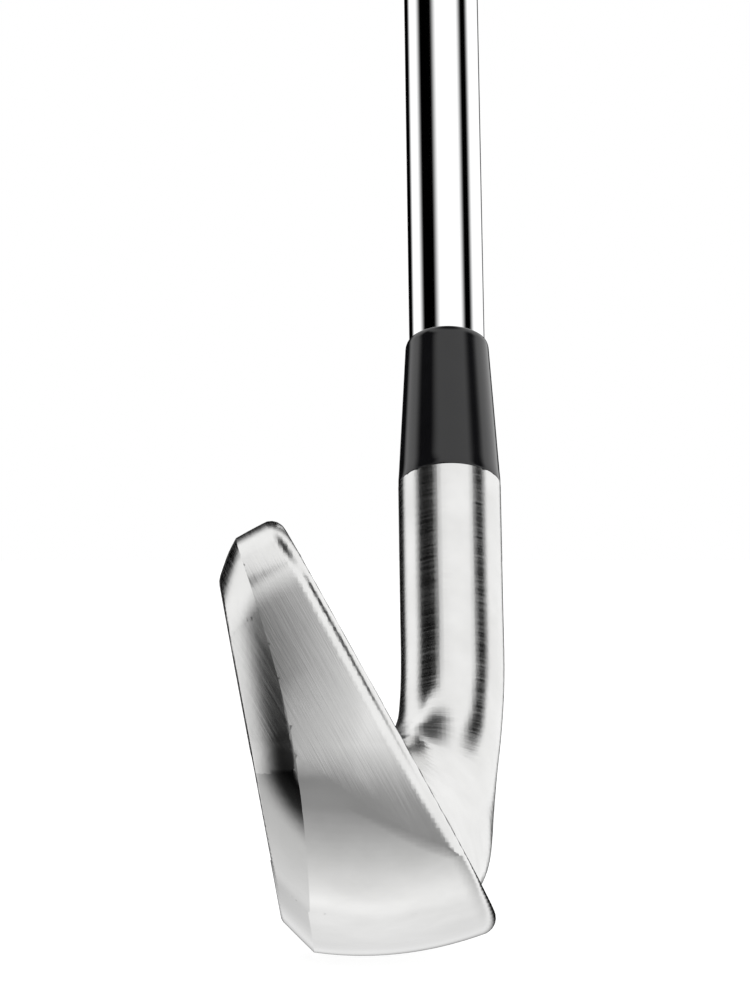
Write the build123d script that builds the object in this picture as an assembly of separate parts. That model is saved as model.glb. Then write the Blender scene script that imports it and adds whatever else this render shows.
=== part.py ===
"""Right-handed seven iron: a hollow clubhead with a welded face plate and internal weights,
bonded through its hosel to a stepped steel shaft that carries a slip-on rubber grip.

The club stands at address. The origin is where the sole touches the ground below the middle
of the face. +X is the target direction, +Y runs from the toe to the heel, and +Z is up.
Every length is in millimetres and every angle in degrees.
"""

from build123d import *
import math
import os

# ---- The club ----
LIE = 62.5                 # shaft axis above the ground
LOFT = 29.0                # face behind the vertical
CLUB_LENGTH = 940.0        # ground to butt cap, along the shaft axis
AXIS_X = 12.3              # shaft axis in front of the sole contact point
AXIS_Y = 34.71             # where the shaft axis meets the ground
FIT_GAP = 0.01             # clearance between bonded faces, so that no two solids overlap

# ---- The blade ----
FACE_X = 18.3              # where the face plane meets the ground
BACK_X = -8.69             # where the back plane meets the ground
BACK_LEAN = 10.6           # back plane behind the vertical
SOLE_CAMBER_R = 40.0       # sole, front to back
LEADING_EDGE_R = 2.1
TRAILING_EDGE_R = 5.2
TOE_Y = -42.3              # furthest point of the toe
HEEL_Y = 30.0              # heel end of the blade
TOE_MIDDLE_V = 36.82       # height of the furthest point of the toe, up the face
LOWER_TOE_R = 36.8         # toe outline below that point, on the face
WRAP_MIDDLE_Z = 29.5       # height of the furthest point of the sole wrap
WRAP_R = 30.3              # sole wrap at the toe
WRAP_PROUD = 0.2           # the wrap's furthest point stands this far outside the toe
UPPER_TOE_R = 57.5         # toe outline above its furthest point
UPPER_TOE_SWEEP = 14.0
TOE_PEAK_R = 11.0
TOPLINE_FALL = 23.7        # topline, measured on the face
BEVEL = 2.0                # rear bevel
EDGE_R = 0.7
HEEL_CORNER_R = 12.0       # heel end of the blade, from above
HEEL_BACK_X = -12.8        # where that rounding meets the back
HEEL_SOLE_R = 16.0         # heel end of the sole, from the front

# ---- The neck, hosel and ferrule ----
HOSEL_TOP = 62.0           # ground to hosel top, along the shaft axis
HOSEL_R = 6.4
HOSEL_ROUND = 32.8         # the hosel is a plain cylinder above this distance from the ground
BORE_DEPTH = 31.0
GLUE_GAP = 0.10
FERRULE_LENGTH = 20.3
FERRULE_TOP_R = 5.27
FERRULE_SHOULDER = 1.1
HOSEL_CHAMFER = 0.25
BORE_BOTTOM = HOSEL_TOP - BORE_DEPTH

# ---- The face plate and what the head holds ----
PLATE_THICKNESS = 2.4
PLATE_MARGIN = 2.6         # rim of the body around the face plate
LEDGE = 1.4                # the rim's step that the face plate is welded on
SCORE_COUNT = 11
SCORE_PITCH = 3.6
SCORE_WIDTH = 0.8
SCORE_DEPTH = 0.4
SCORE_FIRST_V = 10.5
SCORE_TOE_Y = -25.0
SCORE_HEEL_Y = 22.0
BACK_WALL = 3.0
SOLE_WALL = 3.0
PLATE_LOW_V = 9.0          # lower edge of the face plate, up the face
PLATE_HEEL_Y = 24.0
SCORE_MARGIN = 5.0         # between the score lines and the topline
BADGE_LENGTH = 36.0
BADGE_HEIGHT = 13.0
BADGE_CENTRE_Y = -10.0
BADGE_CENTRE_V = 18.0      # up the back
BADGE_POCKET = 1.3         # depth of the pocket in the back
BADGE_RECESS = 0.1         # the trim plate lies this far below the back
BADGE_TAPE = 0.2
DAMPER_R = 8.0
DAMPER_V = 27.0            # up the face

# ---- The shaft: places along it are from the ground ----
TIP_R = 4.51
LOWER_R = 4.75
TIP_BOTTOM = BORE_BOTTOM + 1.0
TIP_BORE_TOP = 90.0        # the heavy wall of the tip ends here
SWELL_LENGTH = 60.0        # over which the heavy wall thins out
TIP_WEIGHT_TOP = 50.8
BUTT_R = 7.62
STEP_COUNT = 13
FIRST_STEP = 225.0         # tip to the first step
STEP_PITCH = 33.0
STEP_RAMP = 1.6
TIP_BORE_R = 3.55
TUBE_WALL = 0.4
STOPPER_LENGTH = 8.0
PLUG_LENGTH = 25.0
PLUG_DEPTH = 3.0           # below the top of the shaft

# ---- The grip ----
GRIP_LENGTH = 267.0
GRIP_MOUTH_R = 8.6
GRIP_BUTT_R = 13.2
BUTT_RIM = 14.0            # the grip is a plain cylinder this far below its cap
CAP_THICKNESS = 5.0
VENT_R = 1.75
TAPE_THICKNESS = 0.2
GRIP_START = CLUB_LENGTH - GRIP_LENGTH
SHAFT_TOP = CLUB_LENGTH - CAP_THICKNESS

COS_LOFT = math.cos(math.radians(LOFT))
SIN_LOFT = math.sin(math.radians(LOFT))
AXIS_DIR = Vector(0, math.cos(math.radians(LIE)), math.sin(math.radians(LIE)))
FACE_NORMAL = Vector(COS_LOFT, 0, SIN_LOFT)

# Sketches on AXIS have local X to the target and extrude up the shaft.
AXIS = Plane(origin=(AXIS_X, AXIS_Y, 0), x_dir=(1, 0, 0), z_dir=AXIS_DIR)
# Sketches on FACE have local X to the heel and local Y up the face, and extrude off the face.
FACE = Plane(origin=(FACE_X, 0, 0), x_dir=(0, 1, 0), z_dir=FACE_NORMAL)
# Sketches on PROFILE have local X to the target and local Y up, and extrude to the toe.
PROFILE = Plane(origin=(0, 0, 0), x_dir=(1, 0, 0), z_dir=(0, -1, 0))
# Sketches on BACK have local X to the toe and local Y up the back, and extrude off the back.
BACK = Plane(
    origin=(BACK_X, 0, 0),
    x_dir=(0, -1, 0),
    z_dir=(-math.cos(math.radians(BACK_LEAN)), 0, -math.sin(math.radians(BACK_LEAN))),
)
# Sketches on FRONT have local X to the heel and local Y up, and extrude to the target.
FRONT = Plane(origin=(0, 0, 0), x_dir=(0, 1, 0), z_dir=(1, 0, 0))


def turned(*corners):
    """A solid of revolution about the shaft axis, from (radius, distance) corners."""
    section = make_face(Polyline(*corners, close=True))
    return AXIS * revolve(Plane.XZ * section, Axis.Z)


def tube(outer, inner, start, end):
    """A plain tube on the shaft axis."""
    return turned((inner, start), (outer, start), (outer, end), (inner, end))


def rod(radius, start, end):
    """A plain rod on the shaft axis."""
    return turned((0, start), (radius, start), (radius, end), (0, end))


def arc_chain(start, heading, *arcs):
    """Tangent arcs from (radius, sweep) pairs; a positive sweep turns left."""
    edges = []
    point = Vector(*start)
    direction = Vector(math.cos(math.radians(heading)), math.sin(math.radians(heading)))
    for radius, sweep in arcs:
        arc = JernArc(start=point, tangent=direction, radius=radius, arc_size=sweep)
        edges.append(arc)
        point = arc @ 1
        direction = arc % 1
    return edges, point, direction


def face_outline(inset=0.0):
    """The blade's outline on the face: toe, peak and topline, open-ended below and at the heel."""
    lower, _, _ = arc_chain((TOE_Y + inset, TOE_MIDDLE_V), -90, (LOWER_TOE_R - inset, 80))
    upper, end, way = arc_chain(
        (TOE_Y + inset, TOE_MIDDLE_V), 90,
        (UPPER_TOE_R - inset, -UPPER_TOE_SWEEP),
        (TOE_PEAK_R - inset, UPPER_TOE_SWEEP - 90 - TOPLINE_FALL),
    )
    heel_top = end + way * ((HEEL_Y + 25 - end.X) / way.X)
    bottom = lower[0] @ 1
    rest = Polyline(end, heel_top, (heel_top.X, bottom.Y), bottom)
    return make_face(lower + upper + [rest])


def wrap_outline(inset=0.0):
    """The blade's outline from the front, below the toe's furthest point: sole and toe."""
    toe_y = TOE_Y + inset - WRAP_PROUD
    toe, bottom, _ = arc_chain((toe_y, WRAP_MIDDLE_Z), -90, (WRAP_R - inset, 90))
    rest = Polyline(bottom, (HEEL_Y + 25, bottom.Y), (HEEL_Y + 25, 80), (toe_y, 80), toe[0] @ 0)
    return make_face(toe + [rest])


def corner_stock(plane, corner, radius, height):
    """What a rounded corner takes off, where the corner is the high end of both sketch axes."""
    x, y = corner
    arc = JernArc(start=(x, y - radius), tangent=(0, 1), radius=radius, arc_size=90)
    square = Polyline(arc @ 1, (x - radius, y + 9), (x + 9, y + 9), (x + 9, y - radius), arc @ 0)
    return extrude(plane * make_face([arc, square]), height)


def side_profile(front=0.0, back=0.0, sole=0.0):
    """The blade's section across its length, with the face, back and sole moved inwards."""
    tan_loft = math.tan(math.radians(LOFT))
    tan_back = math.tan(math.radians(BACK_LEAN))
    front_x = FACE_X - front / COS_LOFT
    back_x = BACK_X + back / math.cos(math.radians(BACK_LEAN))

    def sole_height(x):
        return SOLE_CAMBER_R - math.sqrt((SOLE_CAMBER_R - sole) ** 2 - x ** 2)

    lead = front_x
    trail = back_x
    for _ in range(20):
        lead = front_x - sole_height(lead) * tan_loft
        trail = back_x - sole_height(trail) * tan_back
    peak = (front_x - back_x) / (tan_loft - tan_back)
    camber = ThreePointArc((trail, sole_height(trail)), (0, sole), (lead, sole_height(lead)))
    return make_face([camber, Polyline(camber @ 1, (front_x - peak * tan_loft, peak), camber @ 0)])


def across_blade(section, toe_y, heel_y):
    """A side section carried along the blade from one Y to another."""
    return extrude(PROFILE.offset(-heel_y) * section, heel_y - toe_y)


def toe_walls(inset=0.0):
    """The perimeter wall behind the face, from the toe over the peak and along the topline."""
    return extrude(FACE.offset(10) * face_outline(inset), -50)


def sole_wrap(inset=0.0):
    """The sole and the lower toe, carried straight back."""
    return extrude(FRONT * wrap_outline(inset), 40, both=True)


def on_back(edge):
    """Whether an edge lies in the back plane."""
    lean = math.tan(math.radians(BACK_LEAN))
    return all(abs((edge @ t).X - BACK_X + (edge @ t).Z * lean) < 0.01 for t in (0, 0.5, 1))


def on_face(edge):
    """Whether an edge lies in the face plane."""
    lean = math.tan(math.radians(LOFT))
    return all(abs((edge @ t).X - FACE_X + (edge @ t).Z * lean) < 0.01 for t in (0, 0.5, 1))


def blade_stock():
    """The blade between its face, back and sole, cut by the toe walls and the sole wrap."""
    section = side_profile()
    section = fillet(section.vertices().sort_by(Axis.Y)[1], LEADING_EDGE_R)
    section = fillet(section.vertices().sort_by(Axis.Y)[0], TRAILING_EDGE_R)
    blade = across_blade(section, TOE_Y - 5, HEEL_Y) & toe_walls() & sole_wrap()
    rim = blade.edges().filter_by(lambda e: e.center().Y < HEEL_Y - 0.1 and e.center().Z > 6)
    blade = chamfer(rim.filter_by(on_back), BEVEL)
    rim = blade.edges().filter_by(lambda e: e.center().Y < HEEL_Y - 0.1 and e.center().Z > 6)
    blade = fillet(rim.filter_by(on_face), EDGE_R)
    from_above = Plane(origin=(0, 0, 60), x_dir=(-1, 0, 0), z_dir=(0, 0, -1))
    from_front = Plane(origin=(-40, 0, 0), x_dir=(0, 0, -1), z_dir=(1, 0, 0))
    blade -= corner_stock(from_above, (-HEEL_BACK_X, HEEL_Y), HEEL_CORNER_R, 80)
    return blade - corner_stock(from_front, (0, HEEL_Y), HEEL_SOLE_R, 80)


def neck():
    """The heel: it carries the blade round into the hosel."""
    lean = math.radians((LOFT + BACK_LEAN) / 2)
    across = (math.cos(lean), 0, math.sin(lean))
    at_blade = Plane(origin=(0.6, 20, 17.0), x_dir=across, z_dir=(0, -1, 0))
    at_heel = Plane(origin=(6.6, 36.5, 17.2), x_dir=(1, 0, 0.15), z_dir=(0, -0.86, -0.5))
    above_heel = Plane(origin=(11.4, 45.4, 22.5), x_dir=(1, 0, 0), z_dir=-AXIS_DIR)
    at_hosel = Plane(origin=AXIS.offset(HOSEL_ROUND).origin, x_dir=(1, 0, 0), z_dir=-AXIS_DIR)
    sections = [
        at_blade * Ellipse(8.0, 10.8),
        at_heel * Ellipse(7.4, 10.8),
        above_heel * Ellipse(6.5, 7.5),
        at_hosel * Ellipse(HOSEL_R, HOSEL_R),
    ]
    return loft(sections)


def hosel():
    """The round of the hosel above the neck."""
    return rod(HOSEL_R, HOSEL_ROUND, HOSEL_TOP)


def plate_prism(inset, front, depth):
    """The face plate's outline, or one inside it, from one depth behind the face to another."""
    low, high = PLATE_LOW_V + inset - PLATE_MARGIN, 80
    window = Pos((TOE_Y + PLATE_HEEL_Y) / 2 - inset + PLATE_MARGIN, (low + high) / 2)
    window = window * Rectangle(PLATE_HEEL_Y - TOE_Y, high - low)
    outline = face_outline(inset) & window
    return extrude(FACE.offset(front) * outline, -depth - front)


def cavity(gap=0.0):
    """The hollow between the face plate, the back wall and the sole."""
    section = side_profile(PLATE_THICKNESS + gap, BACK_WALL + gap, SOLE_WALL + gap)
    hollow = across_blade(section, TOE_Y, PLATE_HEEL_Y)
    shaft = plate_prism(PLATE_MARGIN + LEDGE + gap, 1, 40)
    return hollow & shaft & sole_wrap(PLATE_MARGIN + LEDGE + gap)


def badge_pocket(inset, floor, top):
    """A rounded rectangle in the back, between two depths below its surface."""
    outline = RectangleRounded(BADGE_LENGTH - 2 * inset, BADGE_HEIGHT - 2 * inset, 3 - inset)
    return extrude(BACK.offset(-floor) * Pos(-BADGE_CENTRE_Y, BADGE_CENTRE_V) * outline, floor - top)


def bore():
    """The hosel bore, open at the top."""
    return rod(TIP_R + GLUE_GAP, BORE_BOTTOM, HOSEL_TOP + 1)


def make_head_body():
    solid = blade_stock() + neck() + hosel()
    rim = solid.edges().filter_by(GeomType.CIRCLE).sort_by(Axis.Z)[-1]
    solid = chamfer(rim, HOSEL_CHAMFER)
    solid -= plate_prism(PLATE_MARGIN, 2, PLATE_THICKNESS) + cavity()
    return solid - badge_pocket(0, BADGE_POCKET, -2) - bore()


def make_face_plate():
    plate = plate_prism(PLATE_MARGIN + FIT_GAP, 0, PLATE_THICKNESS - FIT_GAP)
    topline = math.tan(math.radians(TOPLINE_FALL))
    peak_y = TOE_Y + UPPER_TOE_R * (1 - math.cos(math.radians(UPPER_TOE_SWEEP))) + TOE_PEAK_R
    peak_v = plate_top()
    for row in range(SCORE_COUNT):
        v = SCORE_FIRST_V + row * SCORE_PITCH
        heel_y = min(SCORE_HEEL_Y, peak_y + (peak_v - SCORE_MARGIN - v) / topline)
        length = heel_y - SCORE_TOE_Y
        groove = Pos(SCORE_TOE_Y + length / 2, v, 0) * Box(length, SCORE_WIDTH, 2 * SCORE_DEPTH)
        plate -= FACE * groove
    return plate


def plate_top():
    """How far up the face the toe's peak is."""
    straight = UPPER_TOE_R * math.sin(math.radians(UPPER_TOE_SWEEP))
    round_over = TOE_PEAK_R * (1 - math.sin(math.radians(UPPER_TOE_SWEEP)))
    return TOE_MIDDLE_V + straight + round_over


def make_weight(toe_y, heel_y, top_z):
    """A tungsten slug that fills the low end of the cavity between two places on the blade."""
    region = Pos(0, (toe_y + heel_y) / 2, top_z / 2) * Box(60, heel_y - toe_y, top_z)
    return cavity(FIT_GAP) & region


def make_core_damper():
    """The elastomer block between the face plate and the back wall."""
    block = extrude(FACE * Pos(0, DAMPER_V) * Circle(DAMPER_R), -40)
    return block & cavity(FIT_GAP)


def tip_radius(distance):
    """The shaft's outer radius near its tip: parallel in the hosel, then tapered."""
    climb = min(max(distance - HOSEL_TOP, 0) / FERRULE_LENGTH, 1)
    return TIP_R + (LOWER_R - TIP_R) * climb


def make_ferrule():
    foot = HOSEL_TOP + FIT_GAP
    top = HOSEL_TOP + FERRULE_LENGTH
    inner = [(tip_radius(foot) + FIT_GAP, foot), (tip_radius(top) + FIT_GAP, top)]
    outer = [
        (FERRULE_TOP_R - FERRULE_SHOULDER * 0.3, top),
        (FERRULE_TOP_R, top - FERRULE_SHOULDER),
        (HOSEL_R - 0.02, foot + 0.6),
        (HOSEL_R - 0.02, foot),
    ]
    return turned(inner[0], inner[1], *outer)


def make_hosel_epoxy():
    foot = TIP_BOTTOM + 1.0
    return tube(TIP_R + GLUE_GAP - FIT_GAP, TIP_R + FIT_GAP, foot, HOSEL_TOP)


def make_shaft():
    outer = [(TIP_R, TIP_BOTTOM), (TIP_R, HOSEL_TOP), (LOWER_R, HOSEL_TOP + FERRULE_LENGTH)]
    rise = (BUTT_R - LOWER_R) / STEP_COUNT
    for step in range(STEP_COUNT):
        foot = TIP_BOTTOM + FIRST_STEP + step * STEP_PITCH
        outer += [(LOWER_R + step * rise, foot), (LOWER_R + (step + 1) * rise, foot + STEP_RAMP)]
    outer.append((BUTT_R, SHAFT_TOP))
    inner = [(radius - TUBE_WALL, height) for radius, height in outer[3:]]
    swell = [
        (TIP_BORE_R, TIP_BOTTOM),
        (TIP_BORE_R, TIP_BORE_TOP),
        (LOWER_R - TUBE_WALL, TIP_BORE_TOP + SWELL_LENGTH),
    ]
    return turned(*outer, *reversed(inner), *reversed(swell))


def make_tip_weight():
    """The swing weight: a shank in the tip with a flange below it."""
    shank = TIP_BORE_R - FIT_GAP
    foot = BORE_BOTTOM + FIT_GAP
    flange = TIP_BOTTOM - FIT_GAP
    below = [(0, foot), (TIP_R, foot), (TIP_R, flange), (shank, flange)]
    return turned(*below, (shank, TIP_WEIGHT_TOP), (0, TIP_WEIGHT_TOP))


def make_tip_stopper():
    return rod(TIP_BORE_R - FIT_GAP, TIP_WEIGHT_TOP + FIT_GAP, TIP_WEIGHT_TOP + STOPPER_LENGTH)


def make_shaft_band():
    """The label around the last stretch but one of the shaft."""
    rise = (BUTT_R - LOWER_R) / STEP_COUNT
    radius = BUTT_R - rise + FIT_GAP
    start = TIP_BOTTOM + FIRST_STEP + (STEP_COUNT - 2) * STEP_PITCH + 2 * STEP_RAMP
    return tube(radius + 0.1, radius, start, start + STEP_PITCH - 4 * STEP_RAMP)


def make_butt_plug():
    return rod(BUTT_R - TUBE_WALL - FIT_GAP, SHAFT_TOP - PLUG_DEPTH - PLUG_LENGTH, SHAFT_TOP - PLUG_DEPTH)


def make_grip_tape():
    inner = BUTT_R + FIT_GAP
    return tube(inner + TAPE_THICKNESS, inner, GRIP_START + 4, SHAFT_TOP - 1)


def make_grip():
    inner = BUTT_R + TAPE_THICKNESS + 3 * FIT_GAP
    return turned(
        (inner, GRIP_START),
        (GRIP_MOUTH_R - 0.4, GRIP_START),
        (GRIP_MOUTH_R, GRIP_START + 1.5),
        (GRIP_MOUTH_R, GRIP_START + 5),
        (GRIP_MOUTH_R - 0.3, GRIP_START + 8),
        (GRIP_BUTT_R - 0.7, SHAFT_TOP - 26),
        (GRIP_BUTT_R, SHAFT_TOP - BUTT_RIM),
        (GRIP_BUTT_R, SHAFT_TOP),
        (inner, SHAFT_TOP),
    )


def make_grip_cap():
    foot = SHAFT_TOP + FIT_GAP
    return turned(
        (VENT_R, foot),
        (GRIP_BUTT_R, foot),
        (GRIP_BUTT_R, foot + 1.6),
        (GRIP_BUTT_R - 1.0, foot + 3.2),
        (GRIP_BUTT_R - 3.2, foot + 4.4),
        (VENT_R + 3.0, CLUB_LENGTH),
        (VENT_R, CLUB_LENGTH),
    )


NODES = {
    "head_body": make_head_body(),
    "face_plate": make_face_plate(),
    "toe_weight": make_weight(-36, -20, 14),
    "heel_weight": make_weight(15, PLATE_HEEL_Y, 12.5),
    "core_damper": make_core_damper(),
    "back_plate": badge_pocket(FIT_GAP, BADGE_POCKET - BADGE_TAPE, BADGE_RECESS),
    "back_plate_adhesive": badge_pocket(1, BADGE_POCKET - FIT_GAP, BADGE_POCKET - BADGE_TAPE + FIT_GAP),
    "hosel_epoxy": make_hosel_epoxy(),
    "ferrule": make_ferrule(),
    "shaft": make_shaft(),
    "tip_weight": make_tip_weight(),
    "tip_stopper": make_tip_stopper(),
    "shaft_band": make_shaft_band(),
    "butt_plug": make_butt_plug(),
    "grip_tape": make_grip_tape(),
    "grip": make_grip(),
    "grip_cap": make_grip_cap(),
}

os.makedirs("parts", exist_ok=True)
for name, solid in NODES.items():
    export_step(solid, f"parts/{name}.step")
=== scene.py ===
import math

import bpy
import numpy as np
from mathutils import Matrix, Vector
from mathutils.geometry import delaunay_2d_cdt


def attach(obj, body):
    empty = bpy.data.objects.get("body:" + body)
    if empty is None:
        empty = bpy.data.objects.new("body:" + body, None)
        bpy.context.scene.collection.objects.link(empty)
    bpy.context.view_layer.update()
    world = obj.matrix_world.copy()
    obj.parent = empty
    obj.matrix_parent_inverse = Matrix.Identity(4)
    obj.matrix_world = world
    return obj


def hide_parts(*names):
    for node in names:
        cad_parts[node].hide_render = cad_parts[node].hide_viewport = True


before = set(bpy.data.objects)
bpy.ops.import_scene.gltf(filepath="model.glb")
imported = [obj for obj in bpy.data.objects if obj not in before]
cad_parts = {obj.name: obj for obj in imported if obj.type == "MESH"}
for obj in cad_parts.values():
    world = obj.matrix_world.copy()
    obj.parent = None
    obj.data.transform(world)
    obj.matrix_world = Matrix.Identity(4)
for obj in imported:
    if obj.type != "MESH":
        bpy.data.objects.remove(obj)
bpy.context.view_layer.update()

# Lengths are in millimetres up to the point where a mesh is made, and this turns them to metres.
MM = 0.001

# ---- The club's planes and axis, as the CAD model has them ----
COS_LOFT, SIN_LOFT = math.cos(math.radians(29.0)), math.sin(math.radians(29.0))
COS_BACK, SIN_BACK = math.cos(math.radians(10.6)), math.sin(math.radians(10.6))
FACE_X, BACK_X = 18.30, -8.69
AXIS_FOOT = np.array([12.3, 34.71, 0.0])
AXIS_DIR = np.array([0.0, math.cos(math.radians(62.5)), math.sin(math.radians(62.5))])
AXIS_SIDE = np.array([1.0, 0.0, 0.0])
AXIS_OUT = np.cross(AXIS_DIR, AXIS_SIDE)
HOSEL_TOP, HOSEL_R = 62.0, 6.4
BORE_FOOT, BORE_R = 31.0, 4.61

# The blade's outline on the face, by its distance y from toe to heel and v up the face.
TOE_Y, TOE_MIDDLE_V = -42.3, 36.82
LOWER_TOE_R, UPPER_TOE_R = 52.0, 57.5
TOE_SWEEP = math.radians(14)
PEAK_Y, PEAK_V, PEAK_R = -29.92, 48.07, 11.0
TOPLINE_Y, TOPLINE_V, TOPLINE_FALL = -25.5, 58.14, math.radians(23.7)

# The sole and the heel as seen from the front, each by the middle of its arc and its radius.
SOLE_Y, SOLE_R, SOLE_CAMBER_R = 4.0, 89.3, 40.0
WRAP_Y, WRAP_Z, WRAP_R = -20.8, 26.2, 21.5
WRAP_LEAN = math.atan2(SOLE_Y - WRAP_Y, SOLE_R - WRAP_Z)
HEEL_Y, HEEL_Z, HEEL_R = 27.7, 25.2, 24.0
HEEL_LINE_Y, HEEL_LINE_Z = 40.39, -2.96

# The blade's walls bulge a little, and a facet runs round the back.
CROWN_R, FACET_CROWN_R = 60.0, 35.0
FACET_SIZE, FACET_LOSS_AT_TOP, FACET_LOSS_AT_SOLE = 4.35, 1.7, 1.3
TOP_RISE = 21.3

# The face plate, the cavity behind it and the trim plate in the back.
PLATE_INSET, PLATE_DEPTH, PLATE_LOW_V, PLATE_HEEL_Y = 2.6, 2.4, 9.0, 24.0
CUT_START_V, CUT_END_Y, CUT_END_V = 19.2, -17.0, 9.03
CUT_SIDE, CUT_UP = 0.4634, 0.8862
CAVITY_EDGE, CAVITY_SOLE, CAVITY_LOW_V, CAVITY_HEEL_Y = 4.0, 3.0, 10.4, 22.6
CAVITY_FRONT, CAVITY_BACK = 1.5, 3.0
BADGE_Y, BADGE_UP = -10.0, 18.0


# ---- The head as a distance field ----
def ease(low, high, value):
    """A smooth step from 0 at low to 1 at high."""
    t = np.clip((value - low) / (high - low), 0, 1)
    return t * t * (3 - 2 * t)


def both(a, b, radius):
    """Where two fields overlap, with the edge between them rounded."""
    corner = np.hypot(np.maximum(a + radius, 0), np.maximum(b + radius, 0))
    return np.minimum(np.maximum(a, b), -radius) + corner


def either(a, b, blend):
    """Two fields joined with a soft fillet."""
    t = np.clip(0.5 + 0.5 * (b - a) / blend, 0, 1)
    return b + (a - b) * t - blend * t * (1 - t)


def face_frame(x, z):
    """Height off the face plane, height off the back plane and place up the face."""
    face = (x - FACE_X) * COS_LOFT + z * SIN_LOFT
    back = -(x - BACK_X) * COS_BACK - z * SIN_BACK
    return face, back, -(x - FACE_X) * SIN_LOFT + z * COS_LOFT


def face_outline(y, v):
    """Distance outside the blade's outline as the face shows it: toe, peak and topline."""
    lower = np.hypot(y - TOE_Y - LOWER_TOE_R, v - TOE_MIDDLE_V) - LOWER_TOE_R
    upper = np.hypot(y - TOE_Y - UPPER_TOE_R, v - TOE_MIDDLE_V) - UPPER_TOE_R
    toe = np.where(v < TOE_MIDDLE_V, lower, upper)
    toe_end_y, toe_end_v = -40.59, 50.73
    above = (y - toe_end_y) * math.sin(TOE_SWEEP) + (v - toe_end_v) * math.cos(TOE_SWEEP)
    along = (y - TOPLINE_Y) * math.cos(TOPLINE_FALL) - (v - TOPLINE_V) * math.sin(TOPLINE_FALL)
    line = (y - TOPLINE_Y) * math.sin(TOPLINE_FALL) + (v - TOPLINE_V) * math.cos(TOPLINE_FALL)
    peak = np.hypot(y - PEAK_Y, v - PEAK_V) - PEAK_R
    return np.where((above > 0) & (along <= 0), peak, np.maximum(toe, line))


def sole_wrap(x, y, z):
    """Distance outside the sole and lower toe, and how far their surface faces down."""
    sole = np.hypot(y - SOLE_Y, z - SOLE_R) - SOLE_R
    to_toe = np.hypot(y - WRAP_Y, z - WRAP_Z)
    on_toe = (y - WRAP_Y) * math.cos(WRAP_LEAN) < (z - WRAP_Z) * math.sin(WRAP_LEAN)
    down = np.where(on_toe, (WRAP_Z - z) / np.maximum(to_toe, 1e-6), 1.0)
    high = z > WRAP_Z
    distance = np.where(high, np.maximum(TOE_Y - y, sole), np.where(on_toe, to_toe - WRAP_R, sole))
    down = np.clip(np.where(high, 0.0, down), 0, 1)
    return distance + x * x / (2 * SOLE_CAMBER_R) * down ** 2, down


def heel_outline(y, z):
    """Distance outside the heel as seen from the front: an arc from the sole up into the hosel."""
    past = (y - HEEL_Y) * AXIS_DIR[1] + (z - HEEL_Z) * AXIS_DIR[2]
    bend = np.hypot(y - HEEL_Y, z - HEEL_Z) - HEEL_R
    line = (y - HEEL_LINE_Y) * AXIS_DIR[2] - (z - HEEL_LINE_Z) * AXIS_DIR[1]
    return np.where(y > HEEL_Y, np.where(past < 0, bend, line), -100.0)


# Where the hosel turns into the blade: points (x, y, z) down its middle, with the radius there.
NECK = np.array([
    [12.3, 64.0, 56.27, 6.4],
    [12.3, 56.32, 41.5, 6.4],
    [12.3, 51.7, 32.63, 6.4],
    [12.0, 48.9, 27.3, 6.4],
    [11.3, 45.6, 21.9, 6.45],
    [10.2, 41.6, 17.0, 6.6],
    [8.6, 36.6, 13.4, 6.8],
    [6.4, 29.8, 11.6, 6.6],
    [3.2, 21.5, 11.6, 5.2],
])


def neck_line():
    """The neck's centre line and radius, as short steps along a smooth curve."""
    padded = np.vstack([2 * NECK[0] - NECK[1], NECK, 2 * NECK[-1] - NECK[-2]])
    steps = []
    for a, b, c, d in zip(padded, padded[1:], padded[2:], padded[3:]):
        for t in np.arange(0, 1, 0.25):
            steps.append(0.5 * (2 * b + (c - a) * t + (2 * a - 5 * b + 4 * c - d) * t ** 2
                                + (3 * b - a - 3 * c + d) * t ** 3))
    return np.array(steps + [NECK[-1]])


NECK_STEPS = neck_line()
NECK_TOP = 46.8


def shaft_place(x, y, z):
    """Distance from the shaft axis, and the place along it."""
    across = np.hypot(x - AXIS_FOOT[0], (y - AXIS_FOOT[1]) * AXIS_DIR[2] - z * AXIS_DIR[1])
    return across, (y - AXIS_FOOT[1]) * AXIS_DIR[1] + z * AXIS_DIR[2]


def neck_field(x, y, z):
    """Distance outside the hosel and the neck."""
    across, along = shaft_place(x, y, z)
    tube = across - HOSEL_R
    best = np.where(along > NECK_TOP, tube, np.hypot(across, along - NECK_TOP) - HOSEL_R)
    for a, b in zip(NECK_STEPS[4:], NECK_STEPS[5:]):
        way = b[:3] - a[:3]
        t = ((x - a[0]) * way[0] + (y - a[1]) * way[1] + (z - a[2]) * way[2]) / way.dot(way)
        t = np.clip(t, 0, 1)
        gap = np.sqrt((x - a[0] - t * way[0]) ** 2 + (y - a[1] - t * way[1]) ** 2
                      + (z - a[2] - t * way[2]) ** 2)
        best = np.minimum(best, gap - a[3] - t * (b[3] - a[3]))
    return best


def slab(u, w, half_u, half_w, radius):
    """Distance outside a rounded rectangle."""
    u, w = np.abs(u) - half_u + radius, np.abs(w) - half_w + radius
    return np.hypot(np.maximum(u, 0), np.maximum(w, 0)) + np.minimum(np.maximum(u, w), 0) - radius


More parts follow.
